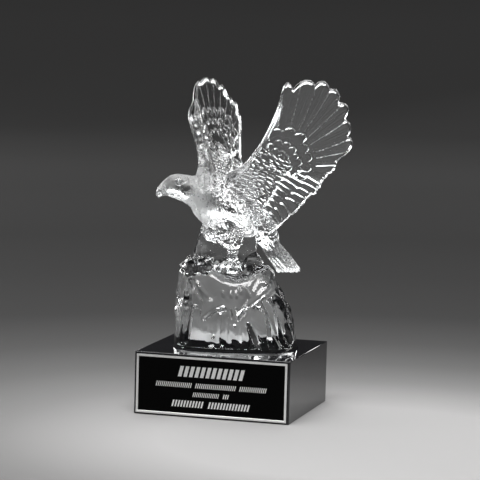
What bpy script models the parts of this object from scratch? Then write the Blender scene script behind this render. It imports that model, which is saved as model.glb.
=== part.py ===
"""Crystal eagle landing on a rock, on a black glass block with a name plate. Blender 4.5, metres, +Z up."""

from math import atan2, cos, exp, hypot, pi, radians, sin

import bmesh
import bpy
from mathutils import Vector

# Block and plate
BLOCK_WIDTH = 0.102
BLOCK_DEPTH = 0.094
BLOCK_HEIGHT = 0.040
BLOCK_BEVEL = 0.0007
PLATE_SIDE_MARGIN = 0.0015
PLATE_TOP_MARGIN = 0.0012
PLATE_THICK = 0.0010
PLATE_BEVEL = 0.00015
GLUE_GAP = 0.0003

SHARP_ANGLE = radians(40.0)

# Eagle and rock are one casting: its carving is in units of a 175th of its height, about a millimetre
FIGURE_HEIGHT = 0.175
UNIT = FIGURE_HEIGHT / 175
ROCK_ANGLE = radians(15.8)
BIRD_PLACE = (1.5, -5.0)
BIRD_HEADING = radians(233.7)
HEAD_HEADING = radians(195.8)
NECK_AHEAD = 28.5

# Wings: the plane that both lean in, and where its feathers fan out from
WING_ROOT = (22.0, 10.0, 109.7)
CHORD_AXIS = (-0.725, 0.0, -0.688)
SPAN_AXIS = (-0.564, 0.574, 0.594)
FAN_CENTRE = (13.5, 31.5)
GRID_CENTRE = (15.3, 40.4)
FEATHER_STEP = 11.8
LAST_RIDGE = 51.5
COVERT_REACH = 29.0
WING_RINGS = (0.0, 0.3, 0.52, 0.68, 0.82, 0.93, 1.0)
SHOULDER_POINTS = 12
TIP_POINTS = 6
TIP_ROUNDNESS = 2.2
EDGE_POINTS = 22
HEEL_POINTS = 7
# Half thickness of the plate, then what stands out on it and how far it reaches
WING_THIN = 1.35
SHOULDER_RISE = 4.4
SHOULDER_SPOT = (8.0, -4.0)
SHOULDER_REACH = 20.0
ROD_RISE = 0.8
ROD_REACH = 2.6
RIB_RISE = 0.45
RIB_START = 6.0
COVERT_RISE = 0.55
RIM_RISE = 0.25
RIM_FROM = 0.9

# Reach of each feather tip and notch, as angle in degrees about the fan centre and distance from it
NEAR_TIPS = ((137, 59.6), (126, 63.6), (116, 66.6), (105, 65.1), (94, 62.1), (81, 56.3), (66, 52.7))
NEAR_NOTCHES = ((132, 55.9), (119.5, 61.6), (110.5, 63.6), (100, 59.3), (88, 55.0), (74.5, 51.3))
FAR_TIPS = ((130, 53.0), (116, 60.8), (106.5, 64.6), (97.5, 65.6), (90, 63.0), (83.5, 64.0), (76, 57.0))
FAR_NOTCHES = ((124, 54.5), (110.5, 60.6), (102, 60.8), (93.5, 59.4), (86.5, 60.2), (79.5, 56.0))
NEAR_LEADING = ((245, 27.0), (233, 19.2), (182, 16.7), (151, 27.1), (142.5, 37.9), (140.5, 43.0), (139.5, 50.0))
FAR_LEADING = ((245, 29.0), (233, 22.4), (212, 20.4), (190, 23.0), (168, 32.3), (156, 37.0), (142, 42.2))
NEAR_TRAILING = ((54, 42.2), (46, 41.4), (39, 38.3), (28, 37.3), (16, 37.2), (8, 35.6), (-8, 38.7), (-21, 42.2))
FAR_TRAILING = ((66, 43.0), (58, 37.0), (48, 32.0), (35, 30.0), (16, 32.0), (0, 35.0), (-10, 38.0), (-21, 41.6))
WING_HEEL = ((-30, 46.6), (-36, 50.5), (-45, 47.4), (-57, 45.3), (-81, 44.4), (-97, 42.2), (-109, 38.0))

# Sections of body, head and tail: top ahead and up, bottom ahead and up, half width
BODY_SECTIONS = (
    (34, 101, 35, 94, 3),
    (30.5, 107, 32, 89, 9),
    (25, 109.5, 26.5, 82.5, 12.5),
    (16, 109, 17.5, 78, 14),
    (6, 106, 5, 75.5, 14.5),
    (-5, 100, -7, 73, 13.5),
    (-15, 92, -17, 70, 11.5),
    (-24, 83, -26, 64, 9),
    (-31, 74, -31, 62, 5),
)
HEAD_SECTIONS = (
    (-13, 101, -11, 88, 5),
    (-6, 107.5, -8, 81, 9.5),
    (1.2, 110.3, -1, 84.5, 11),
    (6.6, 111.2, 5, 90.6, 10),
    (12.7, 112.1, 11, 94.9, 8.8),
    (17, 112, 16, 96.8, 8),
    (20.5, 110.8, 20.3, 98, 6.8),
    (23.6, 108.6, 23.3, 98.3, 5),
    (26.2, 105.6, 24.8, 98.1, 3.4),
    (28.3, 102.6, 25.8, 97.6, 2.3),
    (29, 99.8, 26.6, 97, 1.4),
    (28.2, 97.6, 27.2, 96.6, 0.7),
)
TAIL_SECTIONS = (
    (-14, 80, -19, 66, 5),
    (-23, 76.5, -26.4, 62.1, 7.5),
    (-30, 68, -31.5, 56, 9.4),
    (-37.5, 59.5, -37.6, 51, 11.2),
    (-44.5, 50.5, -42.5, 46.5, 12.6),
)
TAIL_FEATHERS = 5
TAIL_RIDGE = 0.14
# The tail's far side hangs lower and reaches further back, by these shares of the distance from its middle
TAIL_TWIST = 0.24
TAIL_SKEW = 0.12

# Rock: height, middle across and towards the front, half width and half depth
ROCK_SECTIONS = (
    (0.0, 1.5, 0.0, 41.0, 27.5),
    (1.6, 1.5, 0.0, 41.0, 27.5),
    (2.4, 1.3, 0.0, 39.6, 26.3),
    (8, 1.2, 0.0, 38.9, 25.6),
    (18, 0.2, 0.0, 37.3, 24.6),
    (28, -1.2, 0.0, 35.6, 23.4),
    (36, -3.2, 0.0, 33.2, 22.2),
    (44, -4.7, 0.0, 31.6, 20.6),
    (49, -5.4, 0.0, 30.4, 18.6),
    (52.5, -5.0, 0.0, 26.0, 14.0),
    (54.0, -5.0, 0.0, 18.0, 8.0),
)
# Grooves and ridges in the rock's front, as across and up from one end to the other, width, then depth
ROCK_MARKS = (
    (-19.0, 18.5, -5.0, 27.5, 2.2, 1.6),
    (9.5, 17.5, 16.0, 0.0, 3.0, 3.6),
    (6.8, 26.0, 20.0, 43.8, 3.4, -2.6),
    (18.0, 27.0, 27.0, 41.0, 4.0, 2.0),
    (-4.0, 0.0, -4.5, 21.0, 2.6, -1.5),
    (24.5, 33.0, 31.0, 6.0, 2.8, 1.6),
    (20.0, 23.0, 25.5, 3.0, 3.0, -1.4),
    (-27.0, 0.0, -25.0, 34.0, 3.0, 1.6),
    (-15.0, 33.0, -17.0, 46.0, 4.5, 1.8),
    (1.0, 32.0, -2.0, 42.0, 4.0, 1.6),
)
# Marks fade towards the ends of the front, flutes towards foot and rim
MARK_SPREAD = 1.6
FOOT_HEIGHT = 2.4
FLUTE_SPAN = 48.0
FLUTES = 17
WIDE_FLUTES = 11
FLUTE_DEPTH = 0.45
FLUTE_LEAN = 0.06
WIDE_FLUTE_LEAN = 0.09
ROCK_SQUARENESS = 2.6
RIM_DIP = 8.0
RIM_DIP_ACROSS = 2.0
RIM_DIP_REACH = 15.0
RIM_DIP_FROM = 38.0
RIM_DIP_SPAN = 16.0

# Lumps of the rock's top: middle and half sizes, ahead, left and up from the bird
LUMPS = (
    (27.5, -9.5, 51.5, 6.5, 6.0, 6.2),
    (21.5, -4.0, 53.0, 5.5, 6.0, 5.2),
    (23.0, -17.0, 50.5, 6.0, 7.0, 6.4),
    (-14.0, 0.5, 53.0, 7.0, 7.5, 7.6),
    (5.0, -14.0, 50.5, 9.0, 7.0, 5.0),
)
LEG_SPREAD = 6.6
THIGH_SECTIONS = (
    (17, 93, 4, 93, 3.5),
    (20, 85, 1.5, 83, 6),
    (21, 77, 1.2, 74, 6.4),
    (17.5, 70, 2, 68, 5.0),
    (11.0, 66, 4.5, 65.5, 2.6),
)
SHIN_PATH = ((8.4, 0.0, 73, 3.2), (8.0, 0.2, 66, 2.8), (7.4, 0.3, 59, 2.6), (7.6, 0.3, 50, 3.2))
TOE_HEEL = (7.4, 53.6)
TOE_RADIUS = 1.9
TOES = ((-27, 9.3), (3, 10.8), (33, 9.7), (171, 7.1))
TOE_ARCH = ((0.1, 0.4, 1.0), (0.35, 1.6, 1.0), (0.7, 0.6, 0.85), (0.92, -1.8, 0.5), (1.0, -3.6, 0.2))
# Pinnacle under the breast: height, middle across and towards the front, half width and half depth
WEB_SECTIONS = (
    (42, -6.0, 1.0, 18.0, 8.0),
    (50, -6.0, 2.0, 19.0, 8.0),
    (57, -5.8, 3.4, 20.4, 7.4),
    (61, -5.6, 4.2, 20.2, 7.0),
    (66, -5.0, 5.0, 19.6, 6.6),
    (72, -4.6, 6.2, 18.6, 6.6),
    (79, -4.0, 8.0, 17.0, 7.0),
    (86, -3.0, 8.0, 14.0, 7.0),
)


def clear_scene():
    """Starts from an empty scene."""
    for thing in list(bpy.data.objects):
        bpy.data.objects.remove(thing, do_unlink=True)


def material(name, colour, roughness, metallic=0.0, transmission=0.0):
    """A Principled material with the part's plain values."""
    made = bpy.data.materials.new(name)
    made.use_nodes = True
    shader = made.node_tree.nodes["Principled BSDF"]
    shader.inputs["Base Color"].default_value = (*colour, 1.0)
    shader.inputs["Roughness"].default_value = roughness
    shader.inputs["Metallic"].default_value = metallic
    shader.inputs["Transmission Weight"].default_value = transmission
    made.diffuse_color = (*colour, 1.0)
    return made


def smooth(points, count):
    """Samples a Catmull-Rom curve through the points, ends included."""
    last = len(points) - 1
    out = []
    for step in range(count):
        place = last * step / (count - 1)
        low = min(int(place), last - 1)
        t = place - low
        before = points[max(low - 1, 0)]
        here = points[low]
        there = points[low + 1]
        after = points[min(low + 2, last)]
        row = []
        for a, b, c, d in zip(before, here, there, after):
            row.append(0.5 * (2 * b + (c - a) * t + (2 * a - 5 * b + 4 * c - d) * t ** 2
                              + (3 * b - a - 3 * c + d) * t ** 3))
        out.append(row)
    return out


def frame(heading, ahead=0.0):
    """Maps units ahead, to the left and up from the block's top to world points."""
    forward = Vector((cos(BIRD_HEADING), sin(BIRD_HEADING), 0))
    seat = Vector((0, 0, BLOCK_HEIGHT + GLUE_GAP))
    origin = seat + (Vector((*BIRD_PLACE, 0)) + forward * ahead) * UNIT
    axis = Vector((cos(heading), sin(heading), 0))
    left = Vector((-sin(heading), cos(heading), 0))

    def place(a, l, z):
        return origin + (axis * a + left * l + Vector((0, 0, z))) * UNIT
    return place


def solid(name, rows):
    """A closed skin over rings of equal length, with a fan over each end."""
    mesh = bmesh.new()
    rings = [[mesh.verts.new(p) for p in row] for row in rows]
    for low, high in zip(rings, rings[1:]):
        for k in range(len(low)):
            n = (k + 1) % len(low)
            mesh.faces.new((low[k], low[n], high[n], high[k]))
    for ring in (rings[0], rings[-1]):
        middle = sum((v.co for v in ring), Vector()) / len(ring)
        tip = mesh.verts.new(middle)
        for k in range(len(ring)):
            mesh.faces.new((ring[k], ring[(k + 1) % len(ring)], tip))
    return finish(name, mesh)


def finish(name, mesh):
    """Turns a bmesh into a triangulated object with its faces looking outwards."""
    bmesh.ops.recalc_face_normals(mesh, faces=mesh.faces)
    bmesh.ops.triangulate(mesh, faces=mesh.faces)
    data = bpy.data.meshes.new(name)
    mesh.to_mesh(data)
    mesh.free()
    made = bpy.data.objects.new(name, data)
    bpy.context.collection.objects.link(made)
    return made


def shade(made):
    """Smooth shading, with edges sharper than the limit kept."""
    made.data.shade_smooth()
    made.data.set_sharp_from_angle(angle=SHARP_ANGLE)


def loft(name, sections, place, rings, sides, side=0.0):
    """Skins sections that each state their top, bottom and half width."""
    rows = []
    for top_a, top_z, low_a, low_z, width in smooth(sections, rings):
        row = []
        for k in range(sides):
            turn = 2 * pi * k / sides
            a = (top_a + low_a) / 2 + (top_a - low_a) / 2 * cos(turn)
            z = (top_z + low_z) / 2 + (top_z - low_z) / 2 * cos(turn)
            row.append(place(a, side + sin(turn) * width, z))
        rows.append(row)
    return solid(name, rows)


def tail(name, place, rings=8, sides=22):
    """The fanned tail, ridged along its feathers and lower on its far side."""
    rows = []
    for ring, (top_a, top_z, low_a, low_z, width) in enumerate(smooth(TAIL_SECTIONS, rings)):
        share = ring / (rings - 1)
        row = []
        for k in range(sides):
            up = cos(2 * pi * k / sides)
            out = sin(2 * pi * k / sides)
            ripple = 1.0 + TAIL_RIDGE * cos(TAIL_FEATHERS * pi * out) * abs(up)
            far = min(out, 0.0) * width * share
            a = (top_a + low_a) / 2 + (top_a - low_a) / 2 * up * ripple + TAIL_SKEW * far
            z = (top_z + low_z) / 2 + (top_z - low_z) / 2 * up * ripple + TAIL_TWIST * far
            row.append(place(a, out * width, z))
        rows.append(row)
    return solid(name, rows)


def lump(name, place, middle, sizes, rings=7, sides=10):
    """A rounded lump with half sizes ahead, left and up."""
    rows = []
    for i in range(1, rings):
        tilt = pi * i / rings
        row = []
        for k in range(sides):
            turn = 2 * pi * k / sides
            row.append(place(middle[0] + sizes[0] * sin(tilt) * cos(turn),
                             middle[1] + sizes[1] * sin(tilt) * sin(turn),
                             middle[2] + sizes[2] * cos(tilt)))
        rows.append(row)
    return solid(name, rows)


def tube(name, place, path, rings, sides, side=0.0):
    """A round limb along a path of points ahead, left and up, each with its radius."""
    spots = smooth(path, rings)
    rows = []
    across = (Vector(spots[1][:3]) - Vector(spots[0][:3])).orthogonal()
    for k, (a, l, z, radius) in enumerate(spots):
        before = Vector(spots[max(k - 1, 0)][:3])
        after = Vector(spots[min(k + 1, rings - 1)][:3])
        line = (after - before).normalized()
        across = (across - line * across.dot(line)).normalized()
        up = line.cross(across)
        row = []
        for n in range(sides):
            turn = 2 * pi * n / sides
            spot = Vector((a, l, z)) + (across * cos(turn) + up * sin(turn)) * radius
            row.append(place(spot.x, spot.y + side, spot.z))
        rows.append(row)
    return solid(name, rows)


def toe(name, place, angle, length, side):
    """A toe that arches forward from the heel and bends down into its claw."""
    turn = radians(angle)
    ahead, height = TOE_HEEL
    path = []
    for share, lift, thick in TOE_ARCH:
        path.append((ahead + length * share * cos(turn), length * share * sin(turn), height + lift,
                     TOE_RADIUS * thick))
    return tube(name, place, path, 7, 7, side)


def segment_share(x, y, x0, y0, x1, y1):
    """How far along a segment the nearest point lies, and the distance to it."""
    dx = x1 - x0
    dy = y1 - y0
    t = ((x - x0) * dx + (y - y0) * dy) / (dx * dx + dy * dy)
    t = min(max(t, 0.0), 1.0)
    return t, hypot(x - x0 - dx * t, y - y0 - dy * t)


def polar(angle, reach):
    """A point of the wing's plane from its angle and distance about the fan centre."""
    turn = radians(angle)
    return (FAN_CENTRE[0] + reach * cos(turn), FAN_CENTRE[1] + reach * sin(turn))


def wing_outline(tips, notches, leading, trailing):
    """The wing's closed outline: rounded feather tips between notches, then a scalloped trailing edge."""
    points = [tuple(p) for p in smooth([polar(*p) for p in leading], SHOULDER_POINTS)]
    stops = [points[-1]]
    stops += [polar(*p) for p in notches]
    stops.append(polar(*trailing[0]))
    for k, tip in enumerate(tips):
        x0, y0 = stops[k]
        x1, y1 = stops[k + 1]
        tx, ty = polar(*tip)
        for step in range(1, TIP_POINTS + 1):
            t = step / TIP_POINTS
            bow = 1 - abs(2 * t - 1) ** TIP_ROUNDNESS
            cx = x0 + (x1 - x0) * t
            cy = y0 + (y1 - y0) * t
            points.append((cx + (tx - (x0 + x1) / 2) * bow, cy + (ty - (y0 + y1) / 2) * bow))
    edge = smooth([polar(*p) for p in trailing + WING_HEEL[:2]], EDGE_POINTS)
    points += [tuple(p) for p in edge[1:]]
    heel = smooth([polar(*p) for p in WING_HEEL[1:]], HEEL_POINTS)
    points += [tuple(p) for p in heel[1:-1]]
    return points


def leading_rod(x, y, leading):
    """How much the rounded leading edge stands out at a point of the wing."""
    rod = [polar(*p) for p in leading[:-1]]
    best = min(segment_share(x, y, *start, *end)[1] for start, end in zip(rod, rod[1:]))
    return exp(-(best / ROD_REACH) ** 2)


def wing_half(x, y, share, leading):
    """Half the wing's thickness at a point: thick at the shoulder, ribbed feathers, a rounded rim."""
    dx = x - FAN_CENTRE[0]
    dy = y - FAN_CENTRE[1]
    reach = hypot(dx, dy)
    angle = atan2(dy, dx) * 180 / pi
    shoulder = hypot(x - SHOULDER_SPOT[0], y - SHOULDER_SPOT[1])
    half = WING_THIN + SHOULDER_RISE * exp(-(shoulder / SHOULDER_REACH) ** 2)
    half += ROD_RISE * leading_rod(x, y, leading)
    ribs = 0.5 + 0.5 * cos((angle - LAST_RIDGE) / FEATHER_STEP * 2 * pi)
    if angle > LAST_RIDGE - FEATHER_STEP:
        half += RIB_RISE * ribs ** 2 * min(max((reach - COVERT_REACH) / RIB_START, 0.0), 1.0)
    if reach < COVERT_REACH:
        half += COVERT_RISE
    if share > RIM_FROM:
        half += RIM_RISE
    return half


def wing(name, side, tips, notches, leading, trailing):
    """A closed plate between two skins that meet in a rounded rim."""
    place = frame(BIRD_HEADING)
    outline = wing_outline(tips, notches, leading, trailing)
    chord = Vector(CHORD_AXIS).normalized()
    span = Vector(SPAN_AXIS)
    span = (span - chord * span.dot(chord)).normalized()
    normal = chord.cross(span)
    normal *= -1 if normal.y < 0 else 1

    def at(x, y, off):
        spot = Vector(WING_ROOT) + chord * x + span * y + normal * off
        return place(spot.x, spot.y * side, spot.z)

    mesh = bmesh.new()
    skins = []
    for face in (1, -1):
        rings = []
        for share in WING_RINGS[:-1]:
            if share == 0.0:
                rings.append([mesh.verts.new(at(*GRID_CENTRE, face * wing_half(*GRID_CENTRE, 0, leading)))])
                continue
            ring = []
            for px, py in outline:
                x = GRID_CENTRE[0] + (px - GRID_CENTRE[0]) * share
                y = GRID_CENTRE[1] + (py - GRID_CENTRE[1]) * share
                ring.append(mesh.verts.new(at(x, y, face * wing_half(x, y, share, leading))))
            rings.append(ring)
        skins.append(rings)
    rim = [mesh.verts.new(at(px, py, 0.0)) for px, py in outline]
    count = len(outline)
    for rings in skins:
        for k in range(count):
            n = (k + 1) % count
            mesh.faces.new((rings[0][0], rings[1][k], rings[1][n]))
            for low, high in zip(rings[1:], rings[2:] + [rim]):
                mesh.faces.new((low[k], low[n], high[n], high[k]))
    return finish(name, mesh)


def rock_point(turn, height, middle_x, middle_y, half_width, half_depth):
    """A point of the rock's side, with its flutes and marks."""
    c = cos(turn)
    s = sin(turn)
    length = (abs(c) ** ROCK_SQUARENESS + abs(s) ** ROCK_SQUARENESS) ** (-1 / ROCK_SQUARENESS)
    x = middle_x + half_width * c * length
    y = middle_y - half_depth * s * length
    side = 0.5 - 0.5 * cos(2 * pi * min(max((height - FOOT_HEIGHT) / FLUTE_SPAN, 0.0), 1.0))
    ripple = cos(FLUTES * turn + height * FLUTE_LEAN) + cos(WIDE_FLUTES * turn - height * WIDE_FLUTE_LEAN)
    inward = FLUTE_DEPTH * side * ripple
    if s > 0.0:
        for x0, z0, x1, z1, width, depth in ROCK_MARKS:
            away = segment_share(x, height, x0, z0, x1, z1)[1]
            inward += depth * exp(-(away / width) ** 2) * min(1.0, s * MARK_SPREAD)
    if height < FOOT_HEIGHT - 0.5:
        inward = 0.0
    return x - inward * c, y + inward * s, height


def rock_axes():
    """The rock's long way and its way to the back, in world axes."""
    right = Vector((cos(ROCK_ANGLE), sin(ROCK_ANGLE), 0))
    back = Vector((-sin(ROCK_ANGLE), cos(ROCK_ANGLE), 0))
    return right, back


def rock_spot(x, y, z, right, back):
    """World point from units across, to the back and up on the block's top."""
    return (right * x + back * y) * UNIT + Vector((0, 0, BLOCK_HEIGHT + GLUE_GAP + max(z, 0.0) * UNIT))


def rock_turns(front, rear):
    """Angles round the rock, closer together over the carved front."""
    turns = [pi * k / front for k in range(front)]
    return turns + [pi + pi * k / rear for k in range(rear)]


def rock(name, rings=21, front=42, rear=20):
    """The rock, lofted up from its flared foot to its rounded top."""
    right, back = rock_axes()
    rows = []
    for height, mx, my, hw, hd in smooth(ROCK_SECTIONS, rings):
        row = []
        for turn in rock_turns(front, rear):
            x, y, z = rock_point(turn, height, mx, my, hw, hd)
            lift = max(height - RIM_DIP_FROM, 0.0) / RIM_DIP_SPAN
            dip = max(sin(turn), 0.0) * exp(-((x - RIM_DIP_ACROSS) / RIM_DIP_REACH) ** 2)
            row.append(rock_spot(x, y, z - RIM_DIP * lift * dip, right, back))
        rows.append(row)
    return solid(name, rows)


def web(name, rings=10, sides=20):
    """The clear pinnacle of rock that holds the breast up."""
    right, back = rock_axes()
    rows = []
    for height, across, forward, width, depth in smooth(WEB_SECTIONS, rings):
        row = []
        for k in range(sides):
            turn = 2 * pi * k / sides
            row.append(rock_spot(across + width * cos(turn), depth * sin(turn) - forward, height, right, back))
        rows.append(row)
    return solid(name, rows)


def union(name, pieces):
    """Fuses closed solids into one, as the casting is, and removes the ones it was made from."""
    base = pieces[0]
    tools = bpy.data.collections.new("tools")
    bpy.context.scene.collection.children.link(tools)
    for piece in pieces[1:]:
        tools.objects.link(piece)
    fuse = base.modifiers.new("fuse", "BOOLEAN")
    fuse.operation = "UNION"
    fuse.solver = "EXACT"
    fuse.operand_type = "COLLECTION"
    fuse.collection = tools
    bpy.context.view_layer.update()
    view = bpy.context.evaluated_depsgraph_get()
    data = bpy.data.meshes.new_from_object(base.evaluated_get(view))
    for piece in pieces:
        bpy.data.objects.remove(piece, do_unlink=True)
    bpy.data.collections.remove(tools)
    data.name = name
    data.materials.clear()
    made = bpy.data.objects.new(name, data)
    bpy.context.collection.objects.link(made)
    return made


def eagle_and_rock():
    """The casting: rock, pinnacle, legs, body, head, tail and two raised wings."""
    bird = frame(BIRD_HEADING)
    head = frame(HEAD_HEADING, NECK_AHEAD)
    pieces = [rock("rock"), web("web")]
    for k, (a, l, z, sa, sl, sz) in enumerate(LUMPS):
        pieces.append(lump(f"lump_{k}", bird, (a, l, z), (sa, sl, sz)))
    for side in (1, -1):
        hip = side * LEG_SPREAD
        pieces.append(loft("thigh", THIGH_SECTIONS, bird, 7, 12, side=hip))
        pieces.append(tube("shin", bird, SHIN_PATH, 5, 9, hip))
        for angle, length in TOES:
            pieces.append(toe("toe", bird, angle, length, hip))
    pieces.append(loft("body", BODY_SECTIONS, bird, 17, 20))
    pieces.append(loft("head", HEAD_SECTIONS, head, 19, 16))
    pieces.append(tail("tail", bird))
    pieces.append(wing("near_wing", 1, NEAR_TIPS, NEAR_NOTCHES, NEAR_LEADING, NEAR_TRAILING))
    pieces.append(wing("far_wing", -1, FAR_TIPS, FAR_NOTCHES, FAR_LEADING, FAR_TRAILING))
    made = union("eagle_and_rock", pieces)
    made.data.materials.append(material("clear_glass", (0.93, 0.95, 0.96), 0.02, transmission=1.0))
    shade(made)
    return made


def box(name, size, middle, bevel):
    """A box with a small chamfer on its edges."""
    mesh = bmesh.new()
    bmesh.ops.create_cube(mesh, size=1.0)
    bmesh.ops.scale(mesh, vec=Vector(size), verts=mesh.verts)
    bmesh.ops.translate(mesh, vec=Vector(middle), verts=mesh.verts)
    bmesh.ops.bevel(mesh, geom=list(mesh.edges), offset=bevel, segments=1, affect="EDGES")
    return finish(name, mesh)


def base_block():
    """The black glass block that the rock is glued on."""
    made = box("base_block", (BLOCK_WIDTH, BLOCK_DEPTH, BLOCK_HEIGHT), (0, 0, BLOCK_HEIGHT / 2), BLOCK_BEVEL)
    made.data.materials.append(material("black_glass", (0.012, 0.012, 0.013), 0.06))
    return made


def name_plate():
    """The thin plate glued on the block's front."""
    width = BLOCK_WIDTH - 2 * PLATE_SIDE_MARGIN
    height = BLOCK_HEIGHT - 2 * PLATE_TOP_MARGIN
    middle_y = -BLOCK_DEPTH / 2 - GLUE_GAP - PLATE_THICK / 2
    made = box("name_plate", (width, PLATE_THICK, height), (0, middle_y, BLOCK_HEIGHT / 2), PLATE_BEVEL)
    made.data.materials.append(material("black_plate", (0.02, 0.02, 0.022), 0.3, metallic=0.8))
    return made


def main():
    """Builds the three pieces."""
    clear_scene()
    base_block()
    name_plate()
    eagle_and_rock()


main()
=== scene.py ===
"""Crystal eagle landing on a rock, on a black glass block with a name plate. Metres, +Z up."""

from math import ceil, cos, hypot, pi, radians, sin

import bmesh
import bpy
import numpy as np
from mathutils import Matrix, Vector, noise
from mathutils.geometry import delaunay_2d_cdt


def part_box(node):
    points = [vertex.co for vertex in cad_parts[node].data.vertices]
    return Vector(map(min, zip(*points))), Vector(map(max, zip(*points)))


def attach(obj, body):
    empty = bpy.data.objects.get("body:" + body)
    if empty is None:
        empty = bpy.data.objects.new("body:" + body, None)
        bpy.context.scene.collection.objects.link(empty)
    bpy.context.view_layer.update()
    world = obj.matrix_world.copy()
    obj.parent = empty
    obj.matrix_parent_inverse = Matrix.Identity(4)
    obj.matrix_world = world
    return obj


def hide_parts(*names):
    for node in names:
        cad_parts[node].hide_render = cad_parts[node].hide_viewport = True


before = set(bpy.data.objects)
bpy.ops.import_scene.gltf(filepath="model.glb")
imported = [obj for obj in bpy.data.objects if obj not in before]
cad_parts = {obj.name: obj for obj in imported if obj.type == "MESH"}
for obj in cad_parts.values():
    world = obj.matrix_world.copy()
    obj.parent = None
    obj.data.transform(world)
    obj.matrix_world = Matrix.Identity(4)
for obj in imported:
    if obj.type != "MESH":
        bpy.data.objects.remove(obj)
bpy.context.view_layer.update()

# Block and plate, as in the frame
BLOCK_LOW, BLOCK_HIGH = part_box("base_block")
PLATE_LOW, PLATE_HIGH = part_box("name_plate")
BLOCK_HEIGHT = BLOCK_HIGH[2]
GLUE_GAP = 0.0003

# The casting's carving is in units of a 175th of its height
UNIT = 0.001
ROCK_ANGLE = radians(15.8)
ROCK_ACROSS = np.array((cos(ROCK_ANGLE), sin(ROCK_ANGLE), 0))
ROCK_BACK = np.array((-sin(ROCK_ANGLE), cos(ROCK_ANGLE), 0))
BIRD_PLACE = (1.5, -5)
BIRD_HEADING = radians(233.7)
HEAD_HEADING = radians(195.8)
NECK_AHEAD = 28.5

# Wings: the plane that both lean in, and where its feathers fan out from
WING_ROOT = (22, 10, 109.7)
CHORD_AXIS = (-0.725, 0, -0.688)
SPAN_AXIS = (-0.564, 0.574, 0.594)
FAN_CENTRE = (13.5, 31.5)
GRID_CENTRE = (15.3, 40.4)
RIM_STEPS = (0, 0.1, 0.35, 0.75, 1.3)
RIM_ROUND = 1
RIM_INSET = 0.35
WING_THIN = 1.2
WING_THICK = 4.2
WING_SHOULDER = (8, -4)
SHOULDER_REACH = 20
OUTLINE_GAP = 0.7
TIP_SQUARENESS = 2.2
WING_HEEL = ((-30, 46.6), (-36, 50.5), (-45, 47.4), (-57, 45.3), (-81, 44.4), (-97, 42.2), (-109, 38))

# Secondaries: a line of beads in the wing's plane, with a row of cells on each side of it
BEADS = (
    (26, 52.3), (29.4, 49.6), (33, 44.7), (34.7, 39.9), (36, 35), (37.3, 29.8), (38.1, 24), (38.9, 18),
    (39.7, 12.5), (40.9, 8), (42.6, 3.5), (44.4, -1),
)
CELLS_FROM = 6
CELLS_TO = 48.5
RIB_PITCH = 4.8
RIB_START = 0.4
INNER_PITCH = 4.2
INNER_START = 2.9
NOTCH_DEPTH = 1.3
NOTCH_WIDTH = 1.1
# Along the line: how much a rib leans with each unit past it, and how deep the inner row is
RIB_LEAN = ((10, 0.06), (15, -0.1), (20, -0.35), (29, -0.35), (34, 0.16), (39, 0.36), (48, 0.38))
RIB_BEND = 14
CELL_DEPTH = ((0, 2), (5, 5), (10, 7.5), (18, 9.5), (24, 13), (30, 9.5), (36, 7.5), (41, 6.7), (50, 5.5))

# Each wing, in degrees about the fan centre and units from it: tips of its primaries, notches between
# them, both edges, ridges between feathers as a near and a far angle, and rows of coverts: the first one's
# angle, the step to the next, their reaches. Then leading rod, face seen, gaps of its meshes, ridge height.
RIDGE_FROM = 30
RIDGE_TO = 56
COVERT_STEP = 0.36
NEAR_WING = {
    "tips": ((137, 59.6), (126, 63.6), (116, 66.6), (105, 65.1), (94, 62.1), (81, 56.3), (66, 52.7)),
    "notches": ((132, 55.9), (119.5, 61.6), (110.5, 63.6), (100, 59.3), (88, 55), (74.5, 51.3)),
    "leading": ((245, 27), (233, 19.2), (182, 16.7), (151, 27.1), (142.5, 37.9), (140.5, 43), (139.5, 50)),
    "trailing": ((54, 42.2), (46, 41.4), (39, 38.3), (28, 37.3), (16, 37.2), (8, 35.6), (-8, 38.7),
                 (-21, 42.2)),
    "ridges": ((140, 140), (124, 128), (112, 118), (105, 109), (96, 98), (85.5, 87), (72, 73), (63.5, 62.5),
               (52, 52)),
    "coverts": (
        (158, 18, (22, 28.6, 30.4, 30.4, 26.6, 26.2, 25.6, 23.8)),
        (152, 18, (18.6, 20.6, 20.4, 19.6, 18.2, 19.2, 19.4, 18.2)),
        (160, 22, (12.4, 14.6, 13.8, 12.8, 11.8, 12.6, 12.4)),
    ),
    "rod": 2.2, "rod_rise": 1, "seen": 1, "gaps": (0.5, 1.1), "lines": 0.22,
}
FAR_WING = {
    "tips": ((130, 53), (116, 60.8), (106.5, 64.6), (97.5, 65.6), (90, 63), (83.5, 64), (76, 57)),
    "notches": ((124, 54.5), (110.5, 60.6), (102, 60.8), (93.5, 59.4), (86.5, 60.2), (79.5, 56)),
    "leading": ((245, 29), (233, 22.4), (212, 20.4), (190, 23), (168, 32.3), (156, 37), (142, 42.2)),
    "trailing": ((66, 43), (58, 37), (48, 32), (35, 30), (16, 32), (0, 35), (-10, 38), (-21, 41.6)),
    "ridges": ((142, 136), (130, 128), (120, 118), (111, 109), (102, 101), (94, 93), (86, 86), (79, 79),
               (70, 71)),
    "coverts": (
        (146, 12, (33, 35, 36.2, 38.6, 44, 45, 41, 35)),
        (142, 14, (25, 27.6, 29.6, 33.4, 34, 30.4, 26)),
        (150, 16, (17, 19.4, 21.4, 24, 24.4, 21.6, 19)),
    ),
    "rod": 5.2, "rod_rise": 1.7, "seen": -1, "gaps": (0.66, 1.1), "lines": 0.17,
}

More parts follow.
